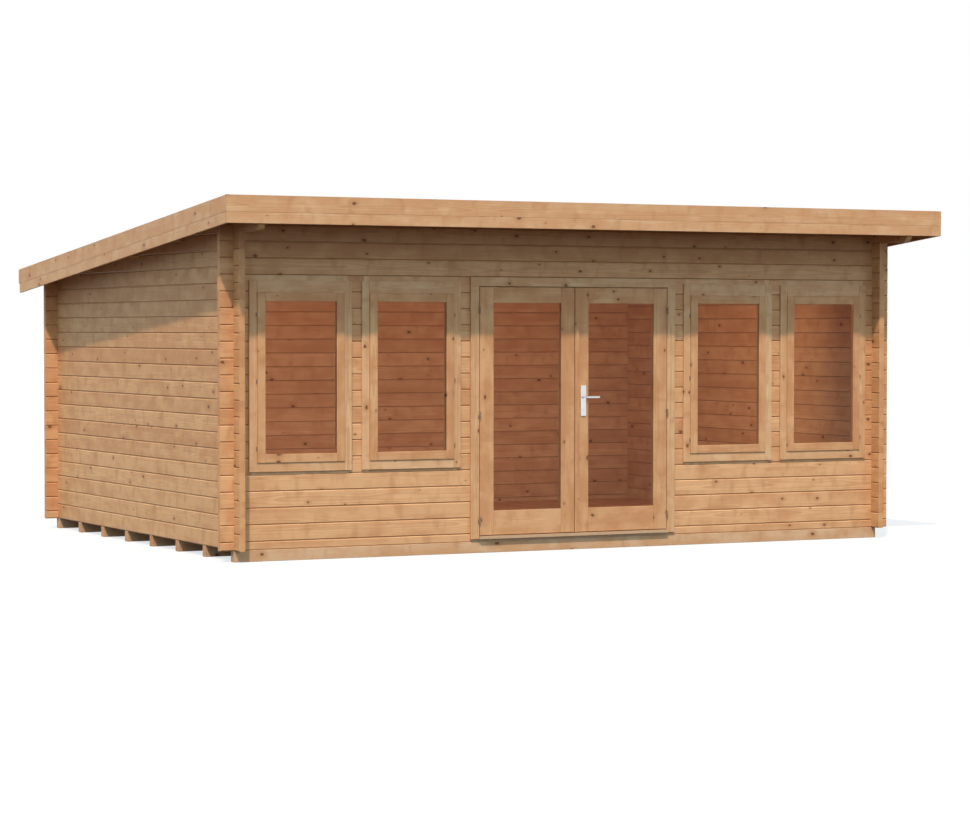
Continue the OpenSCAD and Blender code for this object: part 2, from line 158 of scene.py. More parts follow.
class Graph:
    """Node tree of a material or the world, with short calls for the nodes that the script uses."""

    def __init__(self, owner: bpy.types.Material | bpy.types.World) -> None:
        """Start on a tree.

        Args:
            owner: The new material or world that the tree belongs to.
        """
        owner.use_nodes = True
        self.owner = owner
        self.tree = owner.node_tree
        self.shader = self.tree.nodes.get("Principled BSDF")

    def feed(self, socket: Socket, feed: Feed) -> None:
        """Link a socket to another one, or set its value.

        Args:
            socket: The input to set.
            feed: An output to link from, or a value.
        """
        if isinstance(feed, bpy.types.NodeSocket):
            self.tree.links.new(feed, socket)
        elif socket.type == "RGBA":
            socket.default_value = (*feed[:3], 1.0)
        else:
            socket.default_value = feed

    def node(self, kind: str, feeds: dict, **settings: object) -> bpy.types.Node:
        """Add a node.

        Args:
            kind: The node's type, without its usual prefix.
            feeds: What goes into its inputs, by name or number.
            settings: The node's own options.

        Returns:
            The new node.
        """
        made = self.tree.nodes.new("ShaderNode" + kind)
        for key, value in settings.items():
            setattr(made, key, value)
        for key, feed in feeds.items():
            self.feed(made.inputs[key], feed)
        return made

    def place(self) -> Socket:
        """Return the place on the piece, in metres."""
        return self.node("TexCoord", {}).outputs["Object"]

    def math(self, operation: str, *feeds: Feed) -> Socket:
        """Return the result of one sum on numbers."""
        return self.node("Math", dict(enumerate(feeds)), operation=operation).outputs[0]

    def scaled(self, place: Feed, scale: tuple) -> Socket:
        """Return a place with each of its coordinates multiplied."""
        return self.node("VectorMath", {0: place, 1: scale}, operation="MULTIPLY").outputs[0]

    def length(self, place: Feed) -> Socket:
        """Return a place's distance from the origin."""
        return self.node("VectorMath", {0: place}, operation="LENGTH").outputs["Value"]

    def again(self, draw: Feed, factor: float) -> Socket:
        """Return another number from 0 to 1, drawn from a first one."""
        return self.math("FRACT", self.math("MULTIPLY", draw, factor))

    def join(self, x: Feed, y: Feed, z: Feed) -> Socket:
        """Return a place made from three numbers."""
        return self.node("CombineXYZ", {0: x, 1: y, 2: z}).outputs[0]

    def split(self, place: Socket) -> tuple[Socket, Socket, Socket]:
        """Return the three numbers of a place."""
        out = self.node("SeparateXYZ", {0: place}).outputs
        return out[0], out[1], out[2]

    def noise(self, place: Socket, scale: tuple, detail: float = 2.0) -> Socket:
        """Return soft noise, from 0 to 1, stretched by a scale for each direction."""
        feeds = {"Vector": self.scaled(place, scale), "Scale": 1.0, "Detail": detail}
        return self.node("TexNoise", feeds).outputs["Fac"]

    def rise(self, feed: Feed, low: Feed, high: Feed, start: float = 0.0, end: float = 1.0) -> Socket:
        """Return a smooth change from start to end as a number goes from low to high."""
        feeds = {0: feed, 1: low, 2: high, 3: start, 4: end}
        return self.node("MapRange", feeds, interpolation_type="SMOOTHSTEP").outputs[0]

    def mix(self, share: Feed, first: Feed, second: Feed, blend: str = "MIX") -> Socket:
        """Return a colour between two colours."""
        feeds = {0: share, 6: first, 7: second}
        return self.node("Mix", feeds, data_type="RGBA", blend_type=blend).outputs[2]

    def bump(self, height: Socket, strength: float, depth: float) -> None:
        """Give the shader small relief from a height.

        Args:
            height: The height, from 0 to 1.
            strength: How far the relief turns the light.
            depth: The relief's depth in metres.
        """
        made = self.node("Bump", {"Height": height, "Strength": strength, "Distance": depth})
        self.feed(self.shader.inputs["Normal"], made.outputs[0])

    def set(self, **values: Feed) -> None:
        """Feed the shader's own sockets, whose names have spaces for underscores."""
        for key, value in values.items():
            self.feed(self.shader.inputs[key.replace("_", " ")], value)


@dataclass(frozen=True)
class GrainSpace:
    """Sockets that give a point's place in the timber that it belongs to, in metres."""

    along: Socket
    across: Socket
    depth: Socket
    tone: Socket
    cut: Socket


@dataclass(frozen=True)
class TimberFinish:
    """Planed softwood: growth rings that bend round knots, fibre, and a tone of its own for each timber."""

    name: str
    pale: Colour = (0.715, 0.414, 0.206)
    ruddy: Colour = (0.58, 0.286, 0.131)
    late: Colour = (0.42, 0.19, 0.075)
    knot: Colour = (0.14, 0.055, 0.02)
    end: Colour = (0.95, 0.89, 0.86)
    mottle: float = 2.1
    roughness: float = 0.62
    roughness_play: float = 0.1
    smooth_rim: Pair = (0.2, 1.0)
    gloss: float = 0.3
    relief: float = 0.25
    relief_depth: float = 0.0015
    fibre_height: float = 0.5
    ring_height: float = -0.35
    knot_height: float = 0.3
    tone_shift: float = 37.0
    fibre_scale: Triple = (14.0, 420.0, 420.0)
    streak_scale: Triple = (0.8, 24.0, 24.0)
    cloud_scale: Triple = (5.0, 9.0, 9.0)
    smudge_scale: Triple = (11.0, 6.0, 6.0)
    tone_share: float = 0.6
    late_share: float = 0.4
    fibre_share: float = 0.14
    fibre_rim: Pair = (0.3, 0.75)
    smudge_share: float = 0.45
    smudge_rim: Pair = (0.5, 0.75)
    dull_share: float = 0.18
    dull_draw: float = 5.3
    halo_share: float = 0.45
    core_share: float = 0.9
    ring_gap: float = 0.0045
    ring_rise: Pair = (0.25, 0.92)
    ring_fall: Pair = (1.0, 0.93)
    pith_wander: Triple = (0.7, 2.0, 2.0)
    wander_across: float = 0.06
    wander_depth: float = 0.04
    pith_aside: float = 0.1
    aside_draw: float = 7.31
    pith_near: float = 0.03
    pith_spread: float = 0.06
    behind_draw: float = 3.97
    knot_run: float = 0.30
    knot_rise: float = 0.115
    knot_share: float = 0.5
    knot_size: float = 0.013
    knot_stretch: float = 1.5
    knot_sink: float = 1.5
    knot_wobble: Triple = (90.0, 90.0, 20.0)
    wobble_share: float = 0.9
    wobble_least: float = 0.55
    knot_least: float = 0.0004
    core_rim: Pair = (1.1, 0.6)
    halo_rim: Pair = (3.4, 0.9)
    bend_rim: Pair = (0.05, 0.01)

    def space(self, g: Graph) -> GrainSpace:
        """Read the place in a board from what the board's mesh carries.

        Args:
            g: The material's graph.

        Returns:
            The sockets of the place.
        """
        grain = g.node("Attribute", {}, attribute_name="grain").outputs["Vector"]
        tone = g.node("Attribute", {}, attribute_name="tone").outputs["Fac"]
        cut = g.node("Attribute", {}, attribute_name="cut").outputs["Fac"]
        return GrainSpace(*g.split(grain), tone, cut)

    def material(self) -> bpy.types.Material:
        """Make the material.

        Returns:
            The material, which reads the place in the timber from space().
        """
        g = Graph(bpy.data.materials.new(self.name))
        space = self.space(g)
        shift = g.math("MULTIPLY", space.tone, self.tone_shift)
        place = g.join(g.math("ADD", space.along, shift), space.across, space.depth)
        bend, core, halo = self.knots(g, space, shift)
        late = self.rings(g, space, place, bend)
        fibre = g.noise(place, self.fibre_scale, detail=3.0)
        layers = (
            (g.math("MULTIPLY", late, self.late_share), self.late),
            (g.rise(fibre, *self.fibre_rim, self.fibre_share, 0.0), self.late),
            (g.math("MULTIPLY", halo, self.halo_share), self.late),
            (g.math("MULTIPLY", core, self.core_share), self.knot),
        )
        colour = self.ground(g, space, place)
        for share, tint in layers:
            colour = g.mix(share, colour, tint)
        colour = g.mix(space.cut, colour, g.mix(1.0, colour, self.end, "MULTIPLY"))
        # painted shade along the foot of each log, on logs only
        colour = self.paint_joint_shade(g, space, colour)
        smooth = g.math("MULTIPLY_ADD", late, self.late_share, fibre)
        play = self.roughness_play
        rough = g.rise(smooth, *self.smooth_rim, self.roughness + play, self.roughness - play)
        g.set(Base_Color=colour, Roughness=rough, Specular_IOR_Level=self.gloss)
        height = g.math("MULTIPLY", late, self.ring_height)
        height = g.math("MULTIPLY_ADD", fibre, self.fibre_height, height)
        height = g.math("MULTIPLY_ADD", core, self.knot_height, height)
        g.bump(height, self.relief, self.relief_depth)
        return g.owner

    def ground(self, g: Graph, space: GrainSpace, place: Socket) -> Socket:
        """Colour the clear wood: a tone for each timber, streaks, clouds and smudges across the grain.

        Args:
            g: The material's graph.
            space: The place in the timber.
            place: The same place, moved so that no two timbers match.

        Returns:
            The colour.
        """
        streak = g.noise(place, self.streak_scale, detail=3.0)
        cloud = g.noise(place, self.cloud_scale, detail=3.0)
        smudge = g.noise(place, self.smudge_scale)
        share = g.math("MULTIPLY_ADD", cloud, self.mottle, -(self.tone_share + self.mottle) / 2)
        share = g.math("ADD", g.math("MULTIPLY_ADD", space.tone, self.tone_share, share), streak)
        colour = g.mix(g.rise(share, 0.0, 1.0), self.pale, self.ruddy)
        colour = g.mix(g.rise(smudge, *self.smudge_rim, 0.0, self.smudge_share), colour, self.late)
        dull = g.again(space.tone, self.dull_draw)
        return g.mix(g.math("MULTIPLY", dull, self.dull_share), colour, self.late)

    def paint_joint_shade(self, g: Graph, space: GrainSpace, colour: Socket) -> Socket:
        """Return the colour as it is, since plain boards get no painted shade at their joints."""
        return colour

    def knots(self, g: Graph, space: GrainSpace, shift: Socket) -> tuple[Socket, Socket, Socket]:
        """Scatter knots, each a column through the timber's thickness.

        Args:
            g: The material's graph.
            space: The place in the timber.
            shift: A number that differs from timber to timber.

        Returns:
            How far the grain bends across, the knot's dark core and the shade round it.
        """
        run = g.math("ADD", g.math("DIVIDE", space.along, self.knot_run), shift)
        lift = g.math("ADD", g.math("DIVIDE", space.across, self.knot_rise), shift)
        spot = g.join(run, lift, g.math("MULTIPLY_ADD", space.depth, self.knot_sink, shift))
        cell = g.node("TexVoronoi", {"Vector": spot, "Scale": 1.0}, voronoi_dimensions="3D").outputs
        away = g.node("VectorMath", {0: spot, 1: cell["Position"]}, operation="SUBTRACT").outputs[0]
        reach = g.scaled(away, (self.knot_run / self.knot_stretch, self.knot_rise, 0.0))
        wobble = g.noise(g.join(space.along, space.across, space.depth), self.knot_wobble, detail=1.0)
        wobble = g.math("MULTIPLY_ADD", wobble, self.wobble_share, self.wobble_least)
        length = g.math("MULTIPLY", g.length(reach), wobble)
        lot = g.split(cell["Color"])[0]
        radius = g.rise(lot, 1.0 - self.knot_share, 1.0, 0.0, self.knot_size)
        square = g.math("MULTIPLY", radius, radius)
        pull = g.math("DIVIDE", square, g.math("MAXIMUM", g.math("MULTIPLY", length, length), square))
        pull = g.math("MULTIPLY", pull, g.rise(length, *self.bend_rim))
        bend = g.math("MULTIPLY", g.split(reach)[1], pull)
        core = g.rise(length, *[g.math("MULTIPLY", radius, share) for share in self.core_rim])
        halo = g.rise(length, *[g.math("MULTIPLY", radius, share) for share in self.halo_rim])
        some = g.math("GREATER_THAN", radius, self.knot_least)
        return bend, g.math("MULTIPLY", core, some), g.math("MULTIPLY", halo, some)

    def rings(self, g: Graph, space: GrainSpace, place: Socket, bend: Socket) -> Socket:
        """Draw the growth rings round a pith that lies beside the timber.

        Args:
            g: The material's graph.
            space: The place in the timber.
            place: The same place, moved so that no two timbers match.
            bend: How far a knot bends the grain across.

        Returns:
            The dark late wood of each ring, from 0 to 1.
        """
        wander = g.math("SUBTRACT", g.noise(place, self.pith_wander), 0.5)
        off = g.math("SUBTRACT", g.again(space.tone, self.aside_draw), 0.5)
        back = g.again(space.tone, self.behind_draw)
        aside = g.math("MULTIPLY", off, self.pith_aside)
        aside = g.math("MULTIPLY_ADD", wander, self.wander_across, aside)
        across = g.math("ADD", g.math("SUBTRACT", space.across, bend), aside)
        behind = g.math("MULTIPLY_ADD", back, self.pith_spread, self.pith_near)
        depth = g.math("MULTIPLY_ADD", wander, self.wander_depth, g.math("ADD", space.depth, behind))
        radius = g.length(g.join(across, depth, 0.0))
        ring = g.math("FRACT", g.math("DIVIDE", radius, self.ring_gap))
        return g.math("MULTIPLY", g.rise(ring, *self.ring_rise), g.rise(ring, *self.ring_fall))


@dataclass(frozen=True)
class LogFinish(TimberFinish):
    """Softwood on a wall of stacked logs, where each log is told from its neighbours by its height."""

    lies: Axis = Axis.X
    stack: Stack = Stack.HALF
    foot: float = 0.08
    course: float = 0.1145
    middle: float = 0.1475
    reach: float = 1.878
    bay: float = 9.0
    # painted shade along the foot of each log: its colour, its strength, and the heights above the log's
    # foot where it fades out and where it is full
    joint_shade_colour: Colour = (0.16, 0.07, 0.026)
    joint_shade_share: float = 0.56
    joint_shade_top: float = 0.009
    joint_shade_deep: float = 0.005
    cut_rim: Pair = (0.6, CUT_FACING)

    def space(self, g: Graph) -> GrainSpace:
        """Work out the place in a log from the place in the wall.

        Args:
            g: The material's graph.

        Returns:
            The sockets of the place.
        """
        coordinates = g.node("TexCoord", {}).outputs
        x, y, z = g.split(coordinates["Object"])
        nx, ny, _ = g.split(coordinates["Normal"])
        along, cross, facing = (x, y, nx) if self.lies is Axis.X else (y, x, ny)
        rows = g.math("DIVIDE", g.math("SUBTRACT", z, self.foot), self.course)
        rows = g.math("ADD", rows, self.stack.value)
        across = g.math("MULTIPLY", g.math("SUBTRACT", g.math("FRACT", rows), 0.5), self.course)
        offset = g.math("SUBTRACT", cross, self.middle)
        depth = g.math("SUBTRACT", g.math("ABSOLUTE", offset), self.reach)
        bay = g.math("FLOOR", g.math("ADD", g.math("DIVIDE", along, self.bay), 0.5))
        name = g.join(g.math("FLOOR", rows), g.math("SIGN", offset), bay)
        tone = g.node("TexWhiteNoise", {"Vector": name}, noise_dimensions="3D").outputs["Value"]
        cut = g.rise(g.math("ABSOLUTE", facing), *self.cut_rim)
        return GrainSpace(along, across, depth, tone, cut)

    def paint_joint_shade(self, g: Graph, space: GrainSpace, colour: Socket) -> Socket:
        """Paint shade on the lowest few millimetres of each log, just above the joint, where shade falls
        under the log above.

        Args:
            g: The material's graph.
            space: The place in the log.
            colour: The colour before the painted shade.

        Returns:
            The colour with the painted shade.
        """
        height = g.math("ADD", space.across, self.course / 2)
        # painted shade, full on the log's lowest millimetres, fading out above them, and left off cut ends
        foot = g.rise(height, self.joint_shade_top, self.joint_shade_deep, 0.0, self.joint_shade_share)
        side = g.math("SUBTRACT", 1.0, space.cut)
        return g.mix(g.math("MULTIPLY", foot, side), colour, self.joint_shade_colour)


@dataclass(frozen=True)
class MetalFinish:
    """Worked metal, bare or painted, with fine scratches along one direction."""

    name: str
    colour: Colour
    shade: Colour
    roughness: float
    scratches: Triple = (900.0, 900.0, 20.0)
    metal: float = 1.0
    stains: Triple = (35.0, 35.0, 35.0)
    stain_share: float = 0.55
    stain_rim: Pair = (0.35, 0.75)
    worn_rim: Pair = (0.3, 0.7)
    polish: float = 0.07
    dulling: float = 0.1
    relief: float = 0.06
    relief_depth: float = 0.0004

    def material(self) -> bpy.types.Material:
        """Make the material.

        Returns:
            The material.
        """
        g = Graph(bpy.data.materials.new(self.name))
        place = g.place()
        scratch = g.noise(place, self.scratches, detail=3.0)
        stain = g.noise(place, self.stains, detail=3.0)
        colour = g.mix(g.rise(stain, *self.stain_rim, 0.0, self.stain_share), self.colour, self.shade)
        worn = g.math("MULTIPLY_ADD", stain, 0.5, g.math("MULTIPLY", scratch, 0.5))
        rough = g.rise(worn, *self.worn_rim, self.roughness - self.polish, self.roughness + self.dulling)
        g.set(Base_Color=colour, Roughness=rough, Metallic=self.metal)
        g.bump(scratch, self.relief, self.relief_depth)
        return g.owner


@dataclass(frozen=True)
class GlassFinish:
    """Clear float glass with the faint waviness of a large sheet."""

    name: str
    colour: Colour = (0.93, 0.95, 0.94)
    bending: float = 1.2
    roughness: float = 0.0
    waves: Triple = (3.0, 3.0, 3.0)
    relief: float = 0.02
    relief_depth: float = 0.002

    def material(self) -> bpy.types.Material:
        """Make the material.

        Returns:
            The material.
        """
        g = Graph(bpy.data.materials.new(self.name))
        g.set(Base_Color=self.colour, Roughness=self.roughness, IOR=self.bending, Transmission_Weight=1.0)
        g.bump(g.noise(g.place(), self.waves, detail=1.0), self.relief, self.relief_depth)
        return g.owner


@dataclass(frozen=True)
class FeltFinish:
    """Roofing felt faced with mineral granules."""

    name: str
    dark: Colour = (0.035, 0.036, 0.038)
    pale: Colour = (0.12, 0.12, 0.118)
    granules: Triple = (700.0, 700.0, 700.0)
    granule_share: float = 0.7
    patches: Triple = (1.6, 1.6, 1.6)
    patch_share: float = 0.5
    pale_rim: Pair = (0.4, 0.85)
    roughness: float = 0.92
    relief: float = 0.5
    relief_depth: float = 0.002

    def material(self) -> bpy.types.Material:
        """Make the material.

        Returns:
            The material.
        """
        g = Graph(bpy.data.materials.new(self.name))
        place = g.place()
        grit = g.noise(place, self.granules)
        wear = g.noise(place, self.patches, detail=4.0)
        share = g.math("MULTIPLY", grit, self.granule_share)
        share = g.rise(g.math("MULTIPLY_ADD", wear, self.patch_share, share), *self.pale_rim)
        g.set(Base_Color=g.mix(share, self.dark, self.pale), Roughness=self.roughness)
        g.bump(grit, self.relief, self.relief_depth)
        return g.owner


def block(part: Mesh, low: Vector, high: Vector) -> None:
    """Start a mesh with a square-edged block.

    Args:
        part: The mesh.
        low: The block's lowest corner.
        high: The block's highest corner.
    """
    bmesh.ops.create_cube(part, size=1.0)
    bmesh.ops.scale(part, vec=high - low, verts=part.verts)
    bmesh.ops.translate(part, vec=(low + high) / 2, verts=part.verts)


def sharp(part: Mesh) -> list[bmesh.types.BMEdge]:
    """Return a mesh's sharp edges."""
    return [e for e in part.edges if e.calc_face_angle(0.0) > SHARP]


def ease(part: Mesh, geom: list, width: float, segments: int = 2, affect: str = "EDGES") -> None:
    """Round off edges or corners.

    Args:
        part: The mesh.
        geom: Its edges or corners.
        width: How far the rounding reaches.
        segments: How many faces make it.
        affect: Whether edges or corners are rounded.
    """
    bmesh.ops.bevel(part, geom=geom, offset=width, segments=segments, profile=0.5, affect=affect,
                    material=-1)


def add_part(mesh: Mesh, part: Mesh) -> None:
    """Add a finished part to a mesh.

    Args:
        mesh: The mesh.
        part: The part, which is used up.
    """
    joined = bpy.data.meshes.new("part")
    part.to_mesh(joined)
    part.free()
    mesh.from_mesh(joined)
    bpy.data.meshes.remove(joined)


def spaced(low: float, high: float, foot: float, head: float) -> tuple[float, float, float]:
    """Return the heights of three hinges, the middle one halfway.

    Args:
        low: The foot of the frame that they hold.
        high: Its head.
        foot: How far the lowest is above the foot.
        head: How far the highest is below the head.

    Returns:
        The three heights.
    """
    lowest = low + foot
    highest = high - head
    return lowest, (lowest + highest) / 2, highest


class Timbers:
    """One mesh of eased boards, each with its own grain, tone and cut ends."""

    def __init__(self, seed: int) -> None:
        """Start with no boards and a fixed draw of tones."""
        self.draw = random.Random(seed)
        self.whole = self.blank()

    @staticmethod
    def blank() -> Mesh:
        """Start an empty mesh that can carry grain, tone and cut ends.

        Returns:
            The mesh.
        """
        mesh = bmesh.new()
        mesh.verts.layers.float_vector.new("grain")
        mesh.verts.layers.float.new("tone")
        mesh.faces.layers.float.new("cut")
        return mesh

    def board(self, low: Corner, high: Corner, lies: Axis, width: float = EASE, trim: Trim | None = None,
              lean: Matrix | None = None) -> None:
        """Add a board with eased edges.

        Args:
            low: Its lowest corner.
            high: Its highest corner.
            lies: The direction of its grain.
            width: The width of its eased edges.
            trim: What reshapes the block before its edges are eased.
            lean: What moves the finished board.
        """
        low, high = Vector(low), Vector(high)
        part = self.blank()
        block(part, low, high)
        if trim:
            trim(part)
        ease(part, part.edges[:], width)
        self.keep(part, low, high, lies, lean)

    def keep(self, part: Mesh, low: Vector, high: Vector, lies: Axis, lean: Matrix | None = None) -> None:
        """Give a finished board its grain and tone and add it to the mesh.

        Args:
            part: The board.
            low: The lowest corner of its block.
            high: The highest corner of its block.
            lies: The direction of its grain.
            lean: What moves the finished board.
        """
        size = high - low
        others = sorted((a for a in range(3) if a != lies.value), key=lambda a: -size[a])
        order = (lies.value, *others)
        middle = (low + high) / 2
        start = Vector((self.draw.uniform(0.0, TRUNK), 0.0, 0.0))
        tone = self.draw.random()
        grain = part.verts.layers.float_vector["grain"]
        tones = part.verts.layers.float["tone"]
        cut = part.faces.layers.float["cut"]
        part.normal_update()
        for vert in part.verts:
            local = vert.co - middle
            vert[grain] = Vector([local[a] for a in order]) + start
            vert[tones] = tone
        for face in part.faces:
            face[cut] = float(abs(face.normal[lies.value]) > CUT_FACING)
        if lean:
            bmesh.ops.transform(part, matrix=lean, verts=part.verts)
        add_part(self.whole, part)

    def ring(self, low: Vector, high: Vector, sides: float, foot: float, head: float,
             width: float = EASE) -> None:
        """Add four boards round an opening, with the uprights full height.

        Args:
            low: The lowest outer corner.
            high: The highest outer corner.
            sides: The width of the uprights.
            foot: The height of the foot board.
            head: The height of the head board.
            width: The width of the eased edges.
        """
        x0 = low.x + sides
        x1 = high.x - sides
        self.board(low, (x0, high.y, high.z), Axis.Z, width)
        self.board((x1, low.y, low.z), high, Axis.Z, width)
        self.board((x0, low.y, low.z), (x1, high.y, low.z + foot), Axis.X, width)
        self.board((x0, low.y, high.z - head), (x1, high.y, high.z), Axis.X, width)

    def row(self, low: Corner, high: Corner, pitch: float, joint: float, width: float = EASE,
            lean: Matrix | None = None) -> None:
        """Add boards side by side along X, with their grain along Y.

        Args:
            low: The lowest corner of the row.
            high: The highest corner of the row.
            pitch: About how far apart the boards lie.
            joint: The gap between two boards.
            width: The width of the eased edges.
            lean: What moves each finished board.
        """
        (x0, y0, z0), (x1, y1, z1) = low, high
        count = round((x1 - x0) / pitch)
        step = (x1 - x0) / count
        for i in range(count):
            x = x0 + i * step
            self.board((x, y0, z0), (x + step - joint, y1, z1), Axis.Y, width, lean=lean)


@dataclass
class Workshop:
    """Holds the finishes and turns finished meshes into pieces of the model."""

    nodes: dict[str, bpy.types.Object]
    finishes: dict[str, bpy.types.Material] = field(default_factory=dict)

    def stock(self, *finishes: TimberFinish | MetalFinish | GlassFinish | FeltFinish) -> None:
        """Make each finish's material once."""
        for finish in finishes:
            self.finishes[finish.name] = finish.material()

    def dress(self, finish: str, *nodes: str) -> None:
        """Give CAD nodes a finish.

        Args:
            finish: The finish's name.
            nodes: The nodes' names.
        """
        for node in nodes:
            self.nodes[node].material_slots[0].material = self.finishes[finish]
            LOG.info("dressed %s in %s", node, finish)

    def place(self, mesh: Mesh, name: str, body: Body, slot: Slot, finish: str, *stands_for: str) -> None:
        """Make a piece of a finished mesh.

        Args:
            mesh: The mesh, which is used up.
            name: The piece's name.
            body: The body that it rides on.
            slot: The record's slot for its finish; not used.
            finish: The finish's name.
            stands_for: The CAD nodes that it replaces.
        """
        data = bpy.data.meshes.new(name)
        mesh.normal_update()
        mesh.to_mesh(data)
        mesh.free()
        data.materials.append(self.finishes[finish])
        piece = bpy.data.objects.new(name, data)
        bpy.context.scene.collection.objects.link(piece)
        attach(piece, body.value)
        if stands_for:
            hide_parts(*stands_for)
        LOG.info("made %s with %d faces", name, len(data.polygons))


@dataclass
class LogShell:
    """The walls of stacked logs."""

    shop: Workshop
    long_logs: tuple[str, ...] = ("back_wall", "front_sill_left", "front_sill_right", "front_header")
    short_logs: tuple[str, ...] = ("front_corner_left", "front_corner_right", "front_posts")
    side_logs: tuple[str, ...] = ("left_wall", "right_wall", "left_top_logs", "right_top_logs")

    def build(self) -> None:
        """Dress each wall with the grain along its own logs."""
        self.shop.dress("front_logs", *self.long_logs)
        self.shop.dress("short_logs", *self.short_logs)
        self.shop.dress("side_logs", *self.side_logs)


@dataclass
class GroundFrame:
    """The bearers and the floor boards on them."""

    shop: Workshop
    bearer_count: int = 8
    bearer_w: float = 0.06
    board_w: float = 0.09
    joint: float = 0.0006

    def build(self) -> None:
        """Make the bearers and the floor boards."""
        low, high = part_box("bearers")
        beams = Timbers(Seed.BEARERS.value)
        step = (high.y - low.y - self.bearer_w) / (self.bearer_count - 1)
        for i in range(self.bearer_count):
            y = low.y + i * step
            beams.board((low.x, y, low.z), (high.x, y + self.bearer_w, high.z), Axis.X, SOFT_EASE)
        self.shop.place(beams.whole, "bearer_beams", Body.CABIN, Slot.BEARERS, "bearer_wood", "bearers")
        low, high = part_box("floor_deck")
        floor = Timbers(Seed.FLOOR.value)
        floor.row(low, high, self.board_w, self.joint)
        self.shop.place(floor.whole, "floor_boards", Body.CABIN, Slot.BOARDS, "board_wood", "floor_deck")


@dataclass
class WindowUnit:
    """One window: casing, lining, a glazed sash and the knuckles of the sash's hinges."""

    shop: Workshop
    number: int
    hung: Side
    lap: float = 0.02
    wall_t: float = 0.044
    foot_reveal: float = 0.02
    head_reveal: float = 0.037
    sash_w: float = 0.06
    knuckle_r: float = 0.006
    knuckle_len: float = 0.028
    knuckle_sides: int = 20
    knuckle_out: float = 0.6
    knuckle_ease: float = 0.4
    hinge_foot: float = 0.1
    hinge_head: float = 0.15

    def build(self) -> None:
        """Make the window's frame, its sash and its hinges."""
        low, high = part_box(f"window_frame_{self.number}")
        sash_low, sash_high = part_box(f"window_sash_{self.number}")
        frame = Timbers(Seed.CASING.value + self.number)
        side = sash_low.x - low.x
        face = high.y - self.wall_t
        casing_low = Vector((low.x, low.y, low.z + self.foot_reveal))
        casing_high = Vector((high.x, face, high.z - self.head_reveal))
        frame.ring(casing_low, casing_high, side, sash_low.z - casing_low.z, casing_high.z - sash_high.z)
        lining_low = Vector((low.x + self.lap, face, low.z))
        lining_high = Vector((high.x - self.lap, high.y, high.z))
        foot = sash_low.z - low.z
        frame.ring(lining_low, lining_high, side - self.lap, foot, high.z - sash_high.z, FINE_EASE)
        self.shop.place(frame.whole, f"window_{self.number}_casing", Body.CABIN, Slot.JOINERY,
                        "casing_wood", f"window_frame_{self.number}")
        sash = Timbers(Seed.SASH.value + self.number)
        sash.ring(sash_low, sash_high, self.sash_w, self.sash_w, self.sash_w, SOFT_EASE)
        self.shop.place(sash.whole, f"window_{self.number}_sash", Body.CABIN, Slot.JOINERY,
                        "joinery", f"window_sash_{self.number}")
        self.hinges(sash_low, sash_high, low.y)

    def hinges(self, low: Vector, high: Vector, face: float) -> None:
        """Set three knuckles in the corner between the casing and the sash, on the side that it hangs on.

        Args:
            low: The sash's lowest corner.
            high: The sash's highest corner.
            face: The place of the casing's front.
        """
        out = self.knuckle_r * self.knuckle_out
        x = (low.x if self.hung is Side.LEFT else high.x) + self.hung.value * out
        mesh = bmesh.new()
        for z in spaced(low.z, high.z, self.hinge_foot, self.hinge_head):
            part = bmesh.new()
            bmesh.ops.create_cone(part, cap_ends=True, segments=self.knuckle_sides, radius1=self.knuckle_r,
                                  radius2=self.knuckle_r, depth=self.knuckle_len,
                                  matrix=Matrix.Translation((x, face - out, z)))
            ease(part, sharp(part), self.knuckle_r * self.knuckle_ease, segments=3)
            add_part(mesh, part)
        self.shop.place(mesh, f"window_{self.number}_hinges", Body.CABIN, Slot.HINGE, "hinge_metal")


@dataclass
class DoorFrame:
    """The door's jambs, head and threshold."""

    shop: Workshop
    jamb_w: float = 0.066
    lap: float = 0.02
    wall_t: float = 0.044
    stop_w: float = 0.018
    stop_t: float = 0.013
    head_h: float = 0.065
    nose_h: float = 0.022

    def build(self) -> None:
        """Make the boards of the frame and dress the threshold."""
        low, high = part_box("door_jamb_left")
        head_low, head_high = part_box("door_head")
        top = head_high.z - self.head_h
        face = high.y - self.wall_t
        boards = Timbers(Seed.DOOR_FRAME.value)
        for side in Side:
            self.upright(boards, side, low, high, face)
        boards.board((head_low.x, head_low.y, top), (head_high.x, face, head_high.z), Axis.X)
        lining = head_high.x - self.lap
        boards.board((-lining, face, top), (lining, high.y, head_high.z), Axis.X, FINE_EASE)
        stop = head_high.x - self.jamb_w - self.stop_w
        boards.board((-stop, high.y - self.stop_t, head_low.z), (stop, high.y, top), Axis.X)
        self.shop.place(boards.whole, "door_frame_boards", Body.CABIN, Slot.JOINERY, "casing_wood",
                        "door_jamb_left", "door_jamb_right", "door_head")
        self.shop.dress("threshold_metal", "door_threshold")

    def upright(self, boards: Timbers, side: Side, low: Vector, high: Vector, face: float) -> None:
        """Add one jamb: casing, lining and stop.

        Args:
            boards: The mesh of the frame.
            side: The side that the jamb stands on.
            low: The lowest corner of a jamb.
            high: The highest corner of a jamb.
            face: The place of the wall's outer face.
        """
        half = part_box("door_jamb_right")[1].x
        inner = half - self.jamb_w
        sill = low.z + self.nose_h
        spans = (
            (inner, half, low.y, face, low.z, EASE),
            (inner, half - self.lap, face, high.y, sill, FINE_EASE),
            (inner - self.stop_w, inner, high.y - self.stop_t, high.y, sill, EASE),
        )
        for near, far, y0, y1, z0, width in spans:
            x0, x1 = sorted((side.value * near, side.value * far))
            boards.board((x0, y0, z0), (x1, y1, high.z), Axis.Z, width)


